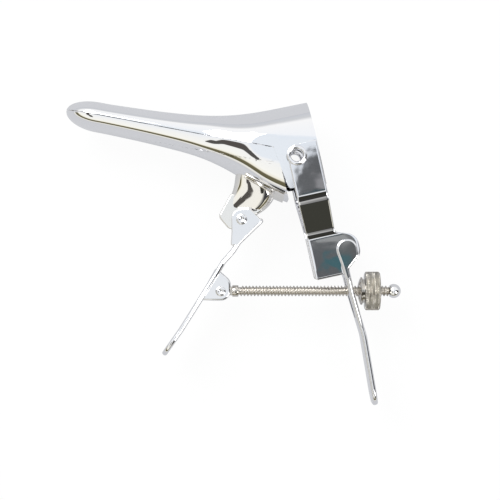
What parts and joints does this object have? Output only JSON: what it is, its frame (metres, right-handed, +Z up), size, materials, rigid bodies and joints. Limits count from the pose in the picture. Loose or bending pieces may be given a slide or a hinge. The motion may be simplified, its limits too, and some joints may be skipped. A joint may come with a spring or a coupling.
{
  "type": "bivalve speculum",
  "caption": "Folding-handle bivalve speculum of polished steel: two hinged hollow blades spread by squeezing two levers and held by a clamping screw with a knurled nut.",
  "frame": {"origin": "middle of the blade hinge, on the axis of the two hollow hinge rivets", "axes": "the instrument lies on its side: +Z up along the hinge axis, +X along the clamping screw towards its ball end, +Y from the finger levers towards the blades"},
  "size_m": [0.1572, 0.1427, 0.0444],
  "materials": {
    "blade_steel": "mirror polished stainless steel",
    "polished_steel": "mirror polished stainless steel",
    "rivet_steel": "mirror polished stainless steel",
    "pin_steel": "polished stainless steel",
    "screw_steel": "turned nickel-plated steel",
    "ball_steel": "polished stainless steel",
    "collar_steel": "turned nickel-plated steel",
    "nut_steel": "knurled nickel-plated steel"
  },
  "bodies": {
    "upper_frame": {"upper_blade": "blade_steel", "yoke_arm_near": "polished_steel", "yoke_arm_far": "polished_steel", "yoke_bridge": "polished_steel", "hinge_eyelet_near": "rivet_steel", "hinge_eyelet_far": "rivet_steel", "thumb_handle": "polished_steel", "handle_fold_pin": "pin_steel"},
    "lower_jaw": {"lower_blade": "blade_steel", "blade_neck": "polished_steel", "finger_lever": "polished_steel", "lever_fold_pin": "pin_steel", "screw_pivot_pin": "pin_steel"},
    "screw": {"screw_rod": "screw_steel", "screw_ball": "ball_steel"},
    "collar": {"pressure_collar": "collar_steel"},
    "nut": {"knurled_nut": "nut_steel"}
  },
  "joints": [
    {"name": "blade_hinge", "type": "hinge", "parent": "upper_frame", "child": "lower_jaw", "pos_m": [0, 0, 0], "axis": [0, 0, 1], "range_deg": [0, 28]},
    {"name": "screw_pivot", "type": "hinge", "parent": "lower_jaw", "child": "screw", "pos_m": [-0.0351, -0.0625, 0], "axis": [0, 0, 1], "range_deg": [-28, 0]},
    {"name": "collar_slide", "type": "slide", "parent": "screw", "child": "collar", "axis": [-1, 0, 0], "range_m": [0, 0.0309]},
    {"name": "nut_spin", "type": "hinge", "parent": "collar", "child": "nut", "pos_m": [0.036, -0.0625, 0], "axis": [1, 0, 0], "continuous": true}
  ],
  "couplings": [
    {"joint": "screw_pivot", "follows": "blade_hinge", "ratio": -1},
    {"joint": "collar_slide", "follows": "blade_hinge", "m_per_rad": 0.063229}
  ]
}
